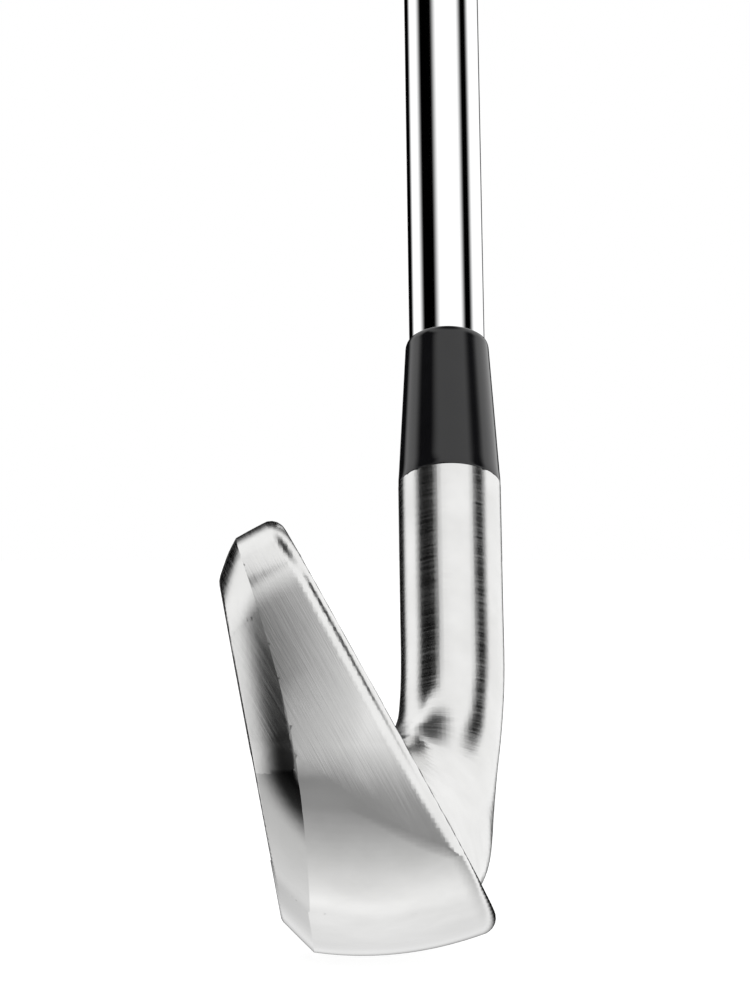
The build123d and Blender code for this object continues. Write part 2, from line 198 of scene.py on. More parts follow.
def head_parts(x, y, z):
    """The head's field, and the fields that say which surface a point is on."""
    face, back, v = face_frame(x, z)
    outline = face_outline(y, v)
    wrap, down = sole_wrap(x, y, z)
    crown = ((face - back) / 2) ** 2 / (2 * CROWN_R)
    wall = both(outline + crown * (1 - down), wrap, 0.3)
    sole = ease(0.55, 0.98, down) * ease(-2.0, 0.5, wrap - outline)
    rise = np.clip((v - TOE_MIDDLE_V) / TOP_RISE, 0, 1)
    facet_size = FACET_SIZE - FACET_LOSS_AT_TOP * rise ** 1.5 - FACET_LOSS_AT_SOLE * down ** 2
    facet = (wall + back + facet_size) * math.sqrt(0.5)
    facet = facet + (wall - back) ** 2 / (2 * FACET_CROWN_R) * (1 - down)
    blade = both(wall, face, 1.7 + 0.7 * sole)
    blade = both(np.maximum(blade, facet), back, 0.25)
    heel_side = (y - 14) * 0.496 - (x + 12) * 0.868
    blade = both(blade, heel_side, 9.0)
    blade = both(blade, heel_outline(y, z), 3.0)
    neck = neck_field(x, y, z)
    across, along = shaft_place(x, y, z)
    body = either(blade, neck, 2 + 8 * ease(20, 36, y))
    body = np.maximum(body, along - HOSEL_TOP)
    corner_cut = -(y - CUT_END_Y) * CUT_SIDE - (v - CUT_END_V) * CUT_UP
    pocket = np.maximum.reduce([outline + PLATE_INSET, corner_cut, PLATE_LOW_V - v,
                                y - PLATE_HEEL_Y, -face - PLATE_DEPTH])
    hollow = np.maximum.reduce([outline + CAVITY_EDGE, wrap + CAVITY_SOLE, CAVITY_LOW_V - v,
                                y - CAVITY_HEEL_Y, face + CAVITY_FRONT, back + CAVITY_BACK])
    up_back = -(x - BACK_X) * SIN_BACK + z * COS_BACK
    badge = np.maximum(slab(y - BADGE_Y, up_back - BADGE_UP, 18, 6.5, 3), -back - 1.3)
    bore = np.maximum(across - BORE_R, BORE_FOOT - along)
    for opening in (pocket, hollow, badge, bore):
        body = np.maximum(body, -opening)
    return body, wrap - outline, blade - neck, face, back


def head_field(p):
    return head_parts(p[..., 0], p[..., 1], p[..., 2])[0]


def gradient(field, p, reach=0.012):
    """Unit normals of a field."""
    parts = []
    for axis in range(3):
        off = np.zeros(3)
        off[axis] = reach
        parts.append(field(p + off) - field(p - off))
    normal = np.stack(parts, -1)
    return normal / np.maximum(np.linalg.norm(normal, axis=-1, keepdims=True), 1e-9)


# A cell's direction counts as a sharp edge's when its share of the normals is above this.
WEAK_SHARE = 0.02


def contour(field, low, high, step):
    """Quads over a field's zero surface that keep its sharp edges, by dual contouring."""
    counts = np.ceil((np.array(high) - low) / step).astype(int) + 1
    grid = np.stack(np.meshgrid(*[low[i] + step * np.arange(counts[i]) for i in range(3)],
                                indexing="ij"), -1)
    value = np.concatenate([field(part) for part in np.array_split(grid, 12)])
    inside = value < 0
    points, normals, cells, quads = [], [], [], []
    for axis in range(3):
        unit = np.eye(3, dtype=int)
        below = [slice(None)] * 3
        above = [slice(None)] * 3
        below[axis], above[axis] = slice(None, -1), slice(1, None)
        first = np.argwhere(inside[tuple(below)] != inside[tuple(above)])
        second = first + unit[axis]
        a, b = value[tuple(first.T)], value[tuple(second.T)]
        start = grid[tuple(first.T)]
        low_t, high_t = np.zeros(len(a)), np.ones(len(a))
        for _ in range(3):
            t = np.clip(low_t + (high_t - low_t) * a / (a - b), 0, 1)
            here = field(start + t[:, None] * step * unit[axis])
            same = (here < 0) == (a < 0)
            low_t, a = np.where(same, t, low_t), np.where(same, here, a)
            high_t, b = np.where(same, high_t, t), np.where(same, b, here)
            b = np.where(a == b, b + 1e-12, b)
        point = start + t[:, None] * step * unit[axis]
        side, up = unit[(axis + 1) % 3], unit[(axis + 2) % 3]
        around = np.stack([first, first - side, first - side - up, first - up], 1)
        flat = np.ravel_multi_index(around.reshape(-1, 3).T, counts).reshape(-1, 4)
        outward = inside[tuple(first.T)]
        quads.append(np.where(outward[:, None], flat, flat[:, ::-1]))
        points.append(np.repeat(point, 4, 0))
        normals.append(np.repeat(gradient(field, point), 4, 0))
        cells.append(flat.reshape(-1))
    points, normals = np.concatenate(points), np.concatenate(normals)
    used, cells = np.unique(np.concatenate(cells), return_inverse=True)
    total = len(used)

    def per_cell(weights):
        return np.bincount(cells, weights, total)

    share = per_cell(None)
    middle = np.stack([per_cell(points[:, i]) / share for i in range(3)], -1)
    reach = np.sum(normals * (points - middle[cells]), -1)
    matrix = np.empty((total, 3, 3))
    for i in range(3):
        for j in range(3):
            matrix[:, i, j] = per_cell(normals[:, i] * normals[:, j])
    vector = np.stack([per_cell(normals[:, i] * reach) for i in range(3)], -1)
    size, turn = np.linalg.eigh(matrix)
    keep = size > WEAK_SHARE * size[:, -1:]
    shift = np.einsum("nji,nj->ni", turn, vector) * np.where(keep, 1 / np.where(keep, size, 1), 0)
    vertices = middle + np.einsum("nij,nj->ni", turn, shift)
    corner = np.stack(np.unravel_index(used, counts), -1) * step + low
    vertices = np.clip(vertices, corner - 0.02 * step, corner + 1.02 * step)
    quads = np.searchsorted(used, np.concatenate(quads))
    return vertices, quads


# ---- Meshes ----
def add_piece(name, points, faces, material, slot, replaced, sharp=None):
    """A mesh piece in millimetres that rides on the club and stands for a CAD node."""
    mesh = bpy.data.meshes.new(name)
    mesh.from_pydata((np.asarray(points) * MM).tolist(), [], [list(map(int, f)) for f in faces])
    mesh.polygons.foreach_set("use_smooth", [True] * len(mesh.polygons))
    if sharp:
        mesh.set_sharp_from_angle(angle=math.radians(sharp))
    mesh.update()
    mesh.materials.append(material)
    piece = bpy.data.objects.new(name, mesh)
    bpy.context.scene.collection.objects.link(piece)
    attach(piece, "root")
    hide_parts(replaced)
    return piece


def on_axis(radius, place, angle):
    """Points at a radius and a place on the shaft axis."""
    arrays = np.broadcast_arrays(radius, place, angle)
    radius, place, angle = (np.asarray(a)[..., None] for a in arrays)
    spoke = np.cos(angle) * AXIS_SIDE + np.sin(angle) * AXIS_OUT
    return AXIS_FOOT + place * AXIS_DIR + radius * spoke


def turned(profile, count, relief=None):
    """A closed ring section, listed up the outside and down the bore, turned about the axis."""
    profile = np.array(profile, float)
    angle = np.arange(count) * 2 * math.pi / count
    radius = np.repeat(profile[:, 0][:, None], count, 1)
    place = np.repeat(profile[:, 1][:, None], count, 1)
    if relief is not None:
        radius = radius + relief(angle[None, :], place, radius)
    points = on_axis(radius, place, angle[None, :]).reshape(-1, 3)
    rows = np.arange(len(profile))
    a = rows[:, None] * count + np.arange(count)[None, :]
    b = rows[:, None] * count + (np.arange(count)[None, :] + 1) % count
    c, d = np.roll(b, -1, 0), np.roll(a, -1, 0)
    faces = np.stack([a, d, c, b], -1).reshape(-1, 4)
    return points, faces


def flat_frame(origin, side, up):
    """Turns (side, up, depth) lists into points; depth goes into the surface."""
    side, up = np.array(side, float), np.array(up, float)
    out = np.cross(side, up)

    def place(a, b, depth):
        a, b, depth = np.broadcast_arrays(a, b, depth)
        return origin + a[:, None] * side + b[:, None] * up - depth[:, None] * out

    return place


def inset_loop(loop, amount):
    """A closed anticlockwise loop moved inwards."""
    before, after = np.roll(loop, 1, 0), np.roll(loop, -1, 0)
    way = after - before
    way /= np.linalg.norm(way, axis=1, keepdims=True)
    return loop + amount * np.stack([-way[:, 1], way[:, 0]], -1)


def grooved_plate(outline, grooves, thickness, edge, place):
    """A plate with an eased front edge and V-floored grooves: (loop, floor loop, depth) each."""
    front = inset_loop(outline, edge)
    loops = [front] + [g[0] for g in grooves]
    start = np.cumsum([0] + [len(p) for p in loops])
    flat = np.concatenate(loops)
    fills = [list(range(start[i], start[i + 1])) for i in range(len(loops))]
    result = delaunay_2d_cdt([Vector(p) for p in flat], [], fills, 1, 1e-6)
    first = [origin[0] for origin in result[3]]
    points = [place(flat[:, 0], flat[:, 1], 0.0)]
    base = len(flat)
    floor_of = {}
    for i, (loop, floor, depth) in enumerate(grooves):
        points.append(place(floor[:, 0], floor[:, 1], depth))
        for k in range(len(loop)):
            floor_of[start[i + 1] + k] = base + k
        base += len(loop)
    faces = []
    for tri, source in zip(result[2], result[5]):
        ids = [first[k] for k in tri]
        faces.append([floor_of[k] for k in ids] if max(source) > 0 else ids)
    for i in range(len(grooves)):
        ring = fills[i + 1]
        for a, b in zip(ring, ring[1:] + ring[:1]):
            faces.append([b, a, floor_of[a], floor_of[b]])
    count = len(outline)
    points += [place(outline[:, 0], outline[:, 1], depth) for depth in (edge, thickness)]
    for k in range(count):
        n = (k + 1) % count
        faces.append([k, base + k, base + n, n])
        faces.append([base + k, base + count + k, base + count + n, base + n])
    faces.append([base + count + k for k in reversed(range(count))])
    return np.concatenate(points), faces


def arc(centre, radius, start, end, count):
    """Points on an arc, in degrees."""
    angle = np.radians(np.linspace(start, end, count))
    return np.stack([centre[0] + radius * np.cos(angle), centre[1] + radius * np.sin(angle)], -1)


# ---- Node materials ----
BAND_FOOT, BAND_TOP = 623.2, 649.8


class Shader:
    """A node tree with short ways to add what the materials share."""

    def __init__(self, name):
        self.material = bpy.data.materials.new(name)
        self.material.use_nodes = True
        self.tree = self.material.node_tree
        self.principled = self.tree.nodes["Principled BSDF"]
        coordinates = self.add("ShaderNodeTexCoord")
        self.position = coordinates.outputs["Object"]

    def add(self, kind, **settings):
        node = self.tree.nodes.new(kind)
        for key, value in settings.items():
            setattr(node, key, value)
        return node

    def join(self, source, target):
        self.tree.links.new(source, target)

    def math(self, operation, a, b=0.0, c=0.0):
        node = self.add("ShaderNodeMath", operation=operation)
        for socket, value in zip(node.inputs, (a, b, c)):
            if isinstance(value, (int, float)):
                socket.default_value = value
            else:
                self.join(value, socket)
        return node.outputs[0]

    def frame(self, x_axis, y_axis, scale):
        """The position in another frame, with each of its axes divided by a length in mm."""
        z_axis = np.cross(x_axis, y_axis)
        combine = self.add("ShaderNodeCombineXYZ")
        for socket, axis, length in zip(combine.inputs, (x_axis, y_axis, z_axis), scale):
            dot = self.add("ShaderNodeVectorMath", operation="DOT_PRODUCT")
            self.join(self.position, dot.inputs[0])
            dot.inputs[1].default_value = [float(a) / (length * MM) for a in axis]
            self.join(dot.outputs["Value"], socket)
        return combine.outputs[0]

    def noise(self, vector, scale=1.0, detail=2.0, rough=0.5):
        node = self.add("ShaderNodeTexNoise")
        node.inputs["Scale"].default_value = scale
        node.inputs["Detail"].default_value = detail
        node.inputs["Roughness"].default_value = rough
        self.join(vector, node.inputs["Vector"])
        return node.outputs["Fac"]

    def spread(self, value, low, high):
        """A noise, which stays mostly between 0.3 and 0.7, spread from low to high."""
        node = self.add("ShaderNodeMapRange")
        for key, number in (("From Min", 0.3), ("From Max", 0.7), ("To Min", low), ("To Max", high)):
            node.inputs[key].default_value = number
        self.join(value, node.inputs["Value"])
        return node.outputs["Result"]

    def tint(self, value, dark, light):
        node = self.add("ShaderNodeMix", data_type="RGBA")
        node.inputs["A"].default_value = (*dark, 1)
        node.inputs["B"].default_value = (*light, 1)
        self.join(value, node.inputs["Factor"])
        return node.outputs["Result"]

    def mask(self, name):
        node = self.add("ShaderNodeAttribute", attribute_name=name)
        return node.outputs["Fac"]

    def mix(self, factor, a, b):
        node = self.add("ShaderNodeMix", data_type="FLOAT")
        self.join(factor, node.inputs["Factor"])
        for key, value in (("A", a), ("B", b)):
            if isinstance(value, (int, float)):
                node.inputs[key].default_value = value
            else:
                self.join(value, node.inputs[key])
        return node.outputs["Result"]

    def bump(self, height, depth):
        """A bump of the given depth in mm."""
        node = self.add("ShaderNodeBump")
        node.inputs["Strength"].default_value = 1.0
        node.inputs["Distance"].default_value = depth * MM
        self.join(height, node.inputs["Height"])
        self.join(node.outputs["Normal"], self.principled.inputs["Normal"])

    def set(self, **values):
        for key, value in values.items():
            socket = self.principled.inputs[key.replace("_", " ")]
            if isinstance(value, (int, float)):
                socket.default_value = value
            elif isinstance(value, tuple):
                socket.default_value = (*value, 1) if len(value) == 3 else value
            else:
                self.join(value, socket)


def steel(name):
    """Satin steel: lines around the hosel, lines along the rim, and a polished sole."""
    s = Shader(name)
    x = (1.0, 0.0, 0.0)
    around = s.noise(s.frame(AXIS_DIR, x, (0.26, 7, 7)), detail=3, rough=0.6)
    rim = s.frame((COS_LOFT, 0, SIN_LOFT), (-SIN_LOFT, 0, COS_LOFT), (0.24, 9, 9))
    rim = s.noise(rim, detail=3, rough=0.6)
    level = s.noise(s.frame((0, 0, 1), (0, 1, 0), (0.12, 10, 3)), detail=3, rough=0.6)
    hosel, polish, flats = s.mask("hosel"), s.mask("polish"), s.mask("flats")
    lines = s.mix(flats, s.mix(hosel, rim, around), level)
    satin = s.math("SUBTRACT", 1.0, polish)
    cloud = s.noise(s.position, scale=160, detail=4)
    rough = s.spread(lines, 0.13, 0.24)
    rough = s.mix(polish, rough, 0.10)
    s.bump(s.math("MULTIPLY", lines, s.math("MULTIPLY_ADD", satin, 0.95, 0.05)), 0.010)
    shade = s.math("MULTIPLY_ADD", s.math("MULTIPLY", lines, satin), 0.22, s.spread(cloud, 0.0, 0.35))
    s.set(Base_Color=s.tint(shade, (0.64, 0.638, 0.63), (0.84, 0.838, 0.832)),
          Metallic=1.0, Roughness=rough)
    return s.material


def milled(name, across, along, dark, light, low, high):
    """Metal with fine lines along one direction."""
    s = Shader(name)
    lines = s.noise(s.frame(across, along, (0.10, 12, 12)), detail=3, rough=0.6)
    cloud = s.noise(s.position, scale=220, detail=4)
    s.bump(lines, 0.006)
    s.set(Base_Color=s.tint(s.math("MULTIPLY_ADD", lines, 0.5, s.spread(cloud, 0.0, 0.5)), dark, light),
          Metallic=1.0, Roughness=s.spread(lines, low, high))
    return s.material


def chrome(name):
    """Plated tube: a mirror with the faintest drawing lines and a few soft clouds."""
    s = Shader(name)
    lines = s.noise(s.frame(AXIS_DIR, (1, 0, 0), (0.5, 5, 5)), detail=3)
    cloud = s.noise(s.position, scale=90, detail=3)
    s.bump(lines, 0.0006)
    s.set(Base_Color=s.tint(cloud, (0.86, 0.865, 0.87), (0.93, 0.93, 0.93)), Metallic=1.0,
          Roughness=s.spread(cloud, 0.035, 0.06))
    return s.material


def ferrule_black(name):
    """Polished black plastic with buffing lines around it."""
    s = Shader(name)
    lines = s.noise(s.frame(AXIS_DIR, (1, 0, 0), (0.15, 12, 12)), detail=3)
    cloud = s.noise(s.position, scale=300, detail=3)
    s.bump(lines, 0.0012)
    s.set(Base_Color=s.tint(cloud, (0.004, 0.004, 0.0045), (0.008, 0.008, 0.009)),
          Roughness=s.spread(lines, 0.05, 0.10), Specular_IOR_Level=0.5)
    return s.material


def rubber(name, dark, light, grain=0.03):
    """Moulded rubber with a matt, slightly dusty grain."""
    s = Shader(name)
    fine = s.noise(s.position, scale=2600, detail=2)
    cloud = s.noise(s.position, scale=60, detail=4)
    s.bump(fine, grain)
    s.set(Base_Color=s.tint(cloud, dark, light), Roughness=s.spread(fine, 0.62, 0.85),
          Specular_IOR_Level=0.35)
    return s.material


def speckled(name, dark, light, low, high, size, metallic=0.0):
    """Cast, glued or moulded stuff with a grain of the given size in mm."""
    s = Shader(name)
    grain = s.noise(s.position, scale=1 / (size * MM), detail=4, rough=0.6)
    cloud = s.noise(s.position, scale=120, detail=3)
    s.bump(grain, size * 0.08)
    shade = s.math("MULTIPLY_ADD", grain, 0.6, s.spread(cloud, 0.0, 0.4))
    s.set(Base_Color=s.tint(shade, dark, light), Metallic=metallic, Roughness=s.spread(grain, low, high))
    return s.material


def banded(name):
    """The shaft label: grey film with plain rings printed at its two ends."""
    s = Shader(name)
    dot = s.add("ShaderNodeVectorMath", operation="DOT_PRODUCT")
    s.join(s.position, dot.inputs[0])
    dot.inputs[1].default_value = [float(a) for a in AXIS_DIR]
    middle = AXIS_FOOT.dot(AXIS_DIR) + (BAND_FOOT + BAND_TOP) / 2
    off = s.math("ABSOLUTE", s.math("SUBTRACT", dot.outputs["Value"], middle * MM))
    ring = s.math("MULTIPLY", s.math("GREATER_THAN", off, 9.5 * MM), s.math("LESS_THAN", off, 11.5 * MM))
    grain = s.noise(s.position, scale=1800, detail=2)
    shade = s.math("MULTIPLY_ADD", ring, 0.85, s.spread(grain, 0.0, 0.12))
    s.bump(grain, 0.004)
    s.set(Base_Color=s.tint(shade, (0.045, 0.05, 0.055), (0.62, 0.63, 0.64)),
          Roughness=s.spread(grain, 0.3, 0.42), Coat_Weight=0.4, Coat_Roughness=0.12)
    return s.material


STEEL = steel("satin_steel")
FACE_STEEL = milled("face_steel", (-SIN_LOFT, 0, COS_LOFT), (0, 1, 0),
                    (0.5, 0.5, 0.49), (0.78, 0.775, 0.76), 0.3, 0.44)
BADGE = milled("badge_film", (0, 0.7071, 0.7071), (0, 0.7071, -0.7071),
               (0.03, 0.032, 0.036), (0.10, 0.105, 0.115), 0.28, 0.4)
CHROME = chrome("shaft_chrome")
FERRULE = ferrule_black("ferrule_black")
GRIP_RUBBER = rubber("grip_rubber", (0.012, 0.012, 0.013), (0.03, 0.03, 0.031))
CAP_RUBBER = rubber("cap_rubber", (0.010, 0.010, 0.011), (0.022, 0.022, 0.023), 0.02)
BAND = banded("band_film")
INNER = {
    "toe_weight": speckled("tungsten", (0.20, 0.20, 0.21), (0.36, 0.36, 0.37), 0.35, 0.55, 0.5, 1.0),
    "core_damper": speckled("elastomer", (0.02, 0.05, 0.09), (0.03, 0.08, 0.14), 0.5, 0.7, 0.8),
    "back_plate_adhesive": speckled("adhesive_film", (0.5, 0.5, 0.46), (0.66, 0.66, 0.6), 0.4, 0.6, 0.4),
    "hosel_epoxy": speckled("epoxy", (0.35, 0.31, 0.22), (0.5, 0.46, 0.34), 0.3, 0.5, 0.6),
    "tip_weight": speckled("tip_brass", (0.55, 0.40, 0.16), (0.72, 0.55, 0.26), 0.25, 0.4, 0.5, 1.0),
    "tip_stopper": speckled("cork", (0.30, 0.19, 0.10), (0.52, 0.36, 0.22), 0.75, 0.92, 0.9),
    "butt_plug": speckled("foam", (0.07, 0.07, 0.08), (0.13, 0.13, 0.14), 0.8, 0.95, 0.7),
    "grip_tape": speckled("tape_film", (0.60, 0.58, 0.52), (0.74, 0.72, 0.66), 0.6, 0.8, 0.5),
}
INNER["heel_weight"] = INNER["toe_weight"]
for node, material in INNER.items():
    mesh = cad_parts[node].data
    mesh.materials.clear()
    mesh.materials.append(material)


# ---- The clubhead ----
HEAD_STEP = 0.55
HEAD_LOW, HEAD_HIGH = np.array([-20.0, -44.1, -1.2]), np.array([20.0, 70.3, 59.5])
head_points, head_quads = contour(head_field, HEAD_LOW, HEAD_HIGH, HEAD_STEP)
head = add_piece("clubhead", head_points, head_quads, STEEL, "body_steel", "head_body")
corners = head_points[head_quads]
# A corner's normal and masks are read a little inside its own face, so that creases stay crisp.
near = corners + 0.4 * (corners.mean(1, keepdims=True) - corners)
near = near.reshape(-1, 3)
head.data.normals_split_custom_set(gradient(head_field, near).tolist())
_, wrap_lead, neck_lead, near_face, near_back = head_parts(near[:, 0], near[:, 1], near[:, 2])
on_flat = np.maximum(ease(-0.12, -0.04, near_face), ease(-0.12, -0.04, near_back))
masks = {
    "polish": ease(-0.02, 0.02, wrap_lead) * (1 - ease(-2.0, 1.5, neck_lead)),
    "hosel": ease(-1.5, 1.5, neck_lead),
    "flats": on_flat * (1 - ease(-1.5, 0.5, neck_lead)),
}
for name, values in masks.items():
    layer = head.data.attributes.new(name, "FLOAT", "CORNER")
    layer.data.foreach_set("value", values.astype(np.float32))


# ---- The face plate and the trim plate on the back ----
def face_plate_outline(gap):
    """The plate's outline as (y, v) points, anticlockwise from the top of the toe."""
    inset = PLATE_INSET + gap
    foot = PLATE_LOW_V + gap
    heel = PLATE_HEEL_Y - gap
    low = math.degrees(math.asin((TOE_MIDDLE_V - CUT_START_V) / (LOWER_TOE_R - inset)))
    upper_end = 180 - math.degrees(TOE_SWEEP)
    toe = [
        arc((PEAK_Y, PEAK_V), PEAK_R - inset, 90 - math.degrees(TOPLINE_FALL), upper_end, 24),
        arc((TOE_Y + UPPER_TOE_R, TOE_MIDDLE_V), UPPER_TOE_R - inset, upper_end, 180, 14)[1:],
        arc((TOE_Y + LOWER_TOE_R, TOE_MIDDLE_V), LOWER_TOE_R - inset, 180, 180 + low, 20)[1:],
    ]
    start_y, start_v = toe[0][0]
    top = start_v - (heel - start_y) * math.tan(TOPLINE_FALL)
    return np.concatenate(toe + [[[CUT_END_Y + gap, foot], [heel, foot], [heel, top]]])


def score_line(v, low_y, high_y, width, radius):
    """A groove's rim and its floor."""
    rims = []
    for half in (width / 2, width / 5):
        ends = radius - (width / 2 - half) * 0.5
        right = arc((high_y - radius, v), ends, -90, 90, 7)
        left = arc((low_y + radius, v), ends, 90, 270, 7)
        loop = np.concatenate([right, left])
        loop[:, 1] = v + (loop[:, 1] - v) * half / ends
        rims.append(loop)
    return rims


SCORE_COUNT, SCORE_FIRST_V, SCORE_PITCH = 11, 10.5, 3.6
SCORE_TOE_Y, LOWEST_SCORE_TOE_Y, SCORE_HEEL_Y = -25.0, -17.5, 22.0
SCORE_WIDTH, SCORE_DEPTH = 0.8, 0.4
SEAM = 0.03

score_lines = []
for row in range(SCORE_COUNT):
    row_v = SCORE_FIRST_V + SCORE_PITCH * row
    row_toe = LOWEST_SCORE_TOE_Y if row == 0 else SCORE_TOE_Y
    row_heel = min(SCORE_HEEL_Y, -29.6 + (54.07 - row_v) / math.tan(TOPLINE_FALL))
    rim, floor = score_line(row_v, row_toe, row_heel, SCORE_WIDTH, SCORE_WIDTH / 2)
    score_lines.append((rim, floor, SCORE_DEPTH))
face_place = flat_frame(np.array([FACE_X, 0, 0]), (0, 1, 0), (-SIN_LOFT, 0, COS_LOFT))
plate = grooved_plate(face_plate_outline(SEAM), score_lines, PLATE_DEPTH - 0.02, 0.14, face_place)
add_piece("face_insert", *plate, FACE_STEEL, "face_steel", "face_plate", sharp=20)

TRIM_HALF_LENGTH, TRIM_HALF_HEIGHT, TRIM_CORNER_R = 17.97, 6.47, 3.0
TRIM_THICKNESS, TRIM_LIFT = 1.0, 0.1

corner_y, corner_v = TRIM_HALF_LENGTH - TRIM_CORNER_R, TRIM_HALF_HEIGHT - TRIM_CORNER_R
trim = np.concatenate([
    arc((side * corner_y, up * corner_v), TRIM_CORNER_R, start, start + 90, 9)
    for side, up, start in ((1, 1, 0), (-1, 1, 90), (-1, -1, 180), (1, -1, 270))
])
ribs = [(*score_line(v, -14.5, 14.5, 0.5, 0.25), 0.25) for v in (-3.6, -1.8, 0.0, 1.8, 3.6)]
back_origin = (np.array([BACK_X, BADGE_Y, 0]) + BADGE_UP * np.array([-SIN_BACK, 0, COS_BACK])
               + TRIM_LIFT * np.array([COS_BACK, 0, SIN_BACK]))
back_place = flat_frame(back_origin, (0, -1, 0), (-SIN_BACK, 0, COS_BACK))
trim_plate = grooved_plate(trim, ribs, TRIM_THICKNESS, 0.2, back_place)
add_piece("trim_plate", *trim_plate, BADGE, "badge", "back_plate", sharp=20)


# ---- Ferrule, shaft and label ----
SHAFT_FOOT, SHAFT_TOP = 32.0, 935.0
TIP_R, BUTT_R = 4.75, 7.62
STEP_FIRST, STEP_PITCH, STEP_COUNT = 257.0, 33.0, 13
FERRULE_R, FERRULE_TOP = 6.38, 82.3


def shaft_outside():
    """The shaft's outside from tip to butt as (radius, place), with its pressed steps."""
    profile = [(4.51, SHAFT_FOOT), (4.51, 61.8), (4.52, 62.4), (TIP_R, FERRULE_TOP), (TIP_R, 102.0)]
    rise = (BUTT_R - TIP_R) / STEP_COUNT
    for step in range(STEP_COUNT):
        foot = STEP_FIRST + STEP_PITCH * step
        low, high = TIP_R + step * rise, TIP_R + (step + 1) * rise
        profile += [(low, foot - 1.5), (low, foot - 0.15), (low + 0.01, foot + 0.1),
                    (high - 0.01, foot + 1.5), (high, foot + 1.75), (high, foot + 3.2)]
    return profile + [(BUTT_R, 700.0), (BUTT_R, SHAFT_TOP)]


shaft_inside = [(7.22, SHAFT_TOP), (7.22, 660.0), (4.35, 250.0), (4.35, 150.0), (3.55, 90.0),
                (3.55, SHAFT_FOOT)]
add_piece("shaft_tube", *turned(shaft_outside() + shaft_inside, 160),
          CHROME, "shaft_chrome", "shaft", sharp=40)

skirt = [(6.30, 62.01), (6.36, 62.07), (FERRULE_R, 62.2), (FERRULE_R, 62.61), (6.375, 62.9)]
taper = [(FERRULE_R - 1.11 * (s - 62.61) / 18.59, s) for s in (63.8, 66.8, 70.8, 74.8, 78.8, 80.8)]
shoulder = [(4.80 + 0.47 * math.cos(a), 81.2 + 1.1 * math.sin(a)) for a in np.radians(range(0, 91, 9))]
ferrule_bore = [(4.765, FERRULE_TOP), (4.525, 62.01)]
add_piece("ferrule_sleeve", *turned(skirt + taper + shoulder + ferrule_bore, 160),
          FERRULE, "ferrule_black", "ferrule", sharp=40)

band = [(7.409, BAND_FOOT), (7.49, BAND_FOOT), (7.509, BAND_FOOT + 0.1),
        (7.509, BAND_TOP - 0.1), (7.49, BAND_TOP), (7.409, BAND_TOP)]
add_piece("shaft_label", *turned(band, 120), BAND, "band_film", "shaft_band", sharp=40)


# ---- Grip and cap ----
GRIP_FOOT, GRIP_TOP, GRIP_BORE_R, GRIP_TOP_R = 673.0, 935.0, 7.85, 13.2
PANEL_FOOT, PANEL_TOP, PANEL_SPLIT = 696.0, 905.0, 790.0
RING_PLACES = (684.5, 688.5, 692.5, 909.5, 913.0)


def grip_relief(angle, place, radius):
    """Crossed helical grooves in panels, plain strips between them and rings at both ends."""
    panel = ease(PANEL_FOOT, PANEL_FOOT + 3, place) * (1 - ease(PANEL_TOP - 3, PANEL_TOP, place))
    panel = panel * ease(1.6, 3.2, np.abs(place - PANEL_SPLIT))
    strip = ease(0.05, 0.09, np.abs(np.sin(angle * 2)))
    twist = place * math.pi / 5.2
    ridges = np.minimum(np.abs(np.sin(angle * 12 + twist)), np.abs(np.sin(angle * 12 - twist)))
    groove = 1 - ease(0.12, 0.42, ridges)
    rings = sum(np.exp(-((place - at) / 0.55) ** 2) for at in RING_PLACES)
    return np.where(radius > 8.0, -0.34 * groove * panel * strip - 0.3 * rings, 0.0)


grip_rows = np.arange(681.0, 921.0, 0.62)
grip_body = [(np.interp(s, [681, 909, 921], [8.3, 12.5, GRIP_TOP_R]), s) for s in grip_rows]
grip_mouth = [(GRIP_BORE_R, GRIP_FOOT), (8.0, GRIP_FOOT), (8.2, 673.15), (8.42, 673.7), (8.56, 674.5),
              (8.6, 675.3), (8.6, 677.4), (8.55, 678.3), (8.42, 679.4), (8.33, 680.2)]
grip_butt = [(GRIP_TOP_R, 921.0), (GRIP_TOP_R, 928.0), (GRIP_TOP_R, 934.6), (13.1, 934.9),
             (12.9, GRIP_TOP), (GRIP_BORE_R, GRIP_TOP)]
add_piece("grip_sleeve", *turned(grip_mouth + grip_body + grip_butt, 144, grip_relief),
          GRIP_RUBBER, "grip_rubber", "grip", sharp=50)

VENT_R = 1.75
dome = [(VENT_R, 935.01), (12.9, 935.01), (13.12, 935.1), (13.2, 935.4), (13.2, 936.5), (13.05, 937.1),
        (12.75, 937.7), (12.2, 938.2), (11.3, 938.75), (10.2, 939.2), (9.4, 939.4), (9.2, 939.05),
        (8.8, 939.05), (8.6, 939.52), (7.0, 939.75), (4.75, 939.97), (3.4, 940.0), (3.2, 939.6),
        (2.8, 939.6), (2.6, 940.0), (1.95, 940.0), (VENT_R, 939.8)]
add_piece("grip_end", *turned(dome, 120), CAP_RUBBER, "cap_rubber", "grip_cap", sharp=35)


# ---- Floor, light and camera ----
def make_floor():
    """A plain pale floor, which lights the metal only as the studio does."""
    mesh = bpy.data.meshes.new("floor")
    half = 6.0
    corners = [(-half, -half, 0), (half, -half, 0), (half, half, 0), (-half, half, 0)]
    mesh.from_pydata(corners, [], [(0, 1, 2, 3)])
    floor = bpy.data.objects.new("floor", mesh)
    bpy.context.scene.collection.objects.link(floor)
    s = Shader("floor_paint")
    cloud = s.noise(s.position, scale=3, detail=2)
    s.set(Base_Color=s.tint(cloud, (0.40, 0.40, 0.40), (0.42, 0.42, 0.42)), Roughness=0.9,
          Specular_IOR_Level=0.0, Emission_Color=(1.0, 1.0, 1.0), Emission_Strength=0.85)
    mesh.materials.append(s.material)
    floor.visible_glossy = False


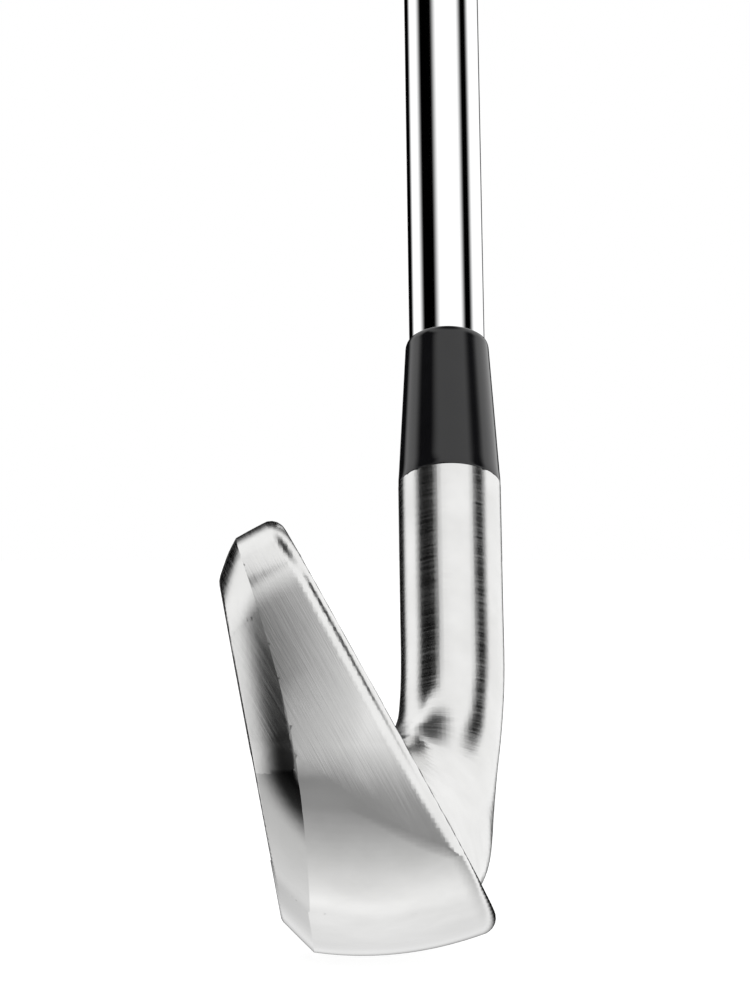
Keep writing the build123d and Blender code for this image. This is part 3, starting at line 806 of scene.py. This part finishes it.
def make_world():
    """A white studio with soft dark cards, so that the metal has something to reflect."""
    world = bpy.data.worlds.new("studio")
    world.use_nodes = True
    tree = world.node_tree
    tree.nodes.clear()
    way = tree.nodes.new("ShaderNodeTexCoord").outputs["Generated"]

    def number(operation, a, b):
        node = tree.nodes.new("ShaderNodeMath")
        node.operation = operation
        for socket, value in zip(node.inputs, (a, b)):
            if isinstance(value, (int, float)):
                socket.default_value = value
            else:
                tree.links.new(value, socket)
        return node.outputs[0]

    def towards(direction):
        node = tree.nodes.new("ShaderNodeVectorMath")
        node.operation = "DOT_PRODUCT"
        tree.links.new(way, node.inputs[0])
        node.inputs[1].default_value = Vector(direction).normalized()
        return node.outputs["Value"]

    def step(value, start, end, low, high):
        node = tree.nodes.new("ShaderNodeMapRange")
        node.interpolation_type = "SMOOTHSTEP"
        for key, amount in (("From Min", start), ("From Max", end), ("To Min", low), ("To Max", high)):
            node.inputs[key].default_value = amount
        tree.links.new(value, node.inputs["Value"])
        return node.outputs["Result"]

    def angle_from(direction):
        return number("MULTIPLY", number("ARCCOSINE", towards(direction), 0.0), 180 / math.pi)

    def card(direction, inner, outer, level):
        """A round patch, level inside the inner angle in degrees and 1 outside the outer one."""
        return step(angle_from(direction), inner, outer, level, 1.0)

    below = tree.nodes.new("ShaderNodeMapRange")
    for key, amount in (("From Min", 0), ("From Max", 82), ("To Min", 1.08), ("To Max", 0.31)):
        below.inputs[key].default_value = amount
    tree.links.new(angle_from((0.0, 0.55, -0.83)), below.inputs["Value"])
    above = step(towards((0, 0, 1)), -0.38, -0.04, 0.0, 1.0)
    floor_light = number("MULTIPLY", below.outputs["Result"], number("SUBTRACT", 1.0, above))
    light = number("ADD", above, floor_light)
    overhead = step(towards((0, 0, 1)), 0.76, 0.86, 0.0, 1.0)
    left = number("MAXIMUM", card((-0.72, -0.20, 0.665), 14, 33, 0.0), overhead)
    for patch in (
        left,
        card((0.814, -0.0995, 0.572), 6, 23, 0.0),
        card((0.12, 0.98, 0.15), 12, 24, 0.0),
        card((-0.45, 0.88, 0.05), 12, 28, 0.0),
        card((0.0, 0.90, 0.42), 10, 30, 0.03),
        card((0.05, 0.12, 0.99), 8, 30, 0.05),
        card((-0.93, -0.22, -0.22), 8, 32, 0.06),
        card((-0.88, -0.08, -0.46), 6, 25, 0.06),
        card((-0.44, -0.89, 0.14), 5, 50, 0.06),
    ):
        light = number("MULTIPLY", light, patch)
    seen = tree.nodes.new("ShaderNodeBackground")
    seen.inputs["Color"].default_value = (1, 1, 1, 1)
    lit = tree.nodes.new("ShaderNodeBackground")
    tree.links.new(light, lit.inputs["Color"])
    lit.inputs["Strength"].default_value = 1.18
    path = tree.nodes.new("ShaderNodeLightPath")
    mix = tree.nodes.new("ShaderNodeMixShader")
    tree.links.new(path.outputs["Is Camera Ray"], mix.inputs["Fac"])
    tree.links.new(lit.outputs[0], mix.inputs[1])
    tree.links.new(seen.outputs[0], mix.inputs[2])
    out = tree.nodes.new("ShaderNodeOutputWorld")
    tree.links.new(mix.outputs[0], out.inputs["Surface"])
    bpy.context.scene.world = world


def make_camera():
    """A long lens, level, from beyond the toe."""
    data = bpy.data.cameras.new("camera")
    data.lens = 285.48
    data.sensor_width = 36.0
    data.clip_start, data.clip_end = 0.05, 20.0
    camera = bpy.data.objects.new("camera", data)
    camera.location = (-0.0212, -0.9267, 0.05337)
    camera.rotation_euler = (math.radians(90), 0, math.radians(-1.4))
    bpy.context.scene.collection.objects.link(camera)
    bpy.context.scene.camera = camera


make_floor()
make_world()
make_camera()
bpy.context.scene.view_settings.view_transform = "Standard"
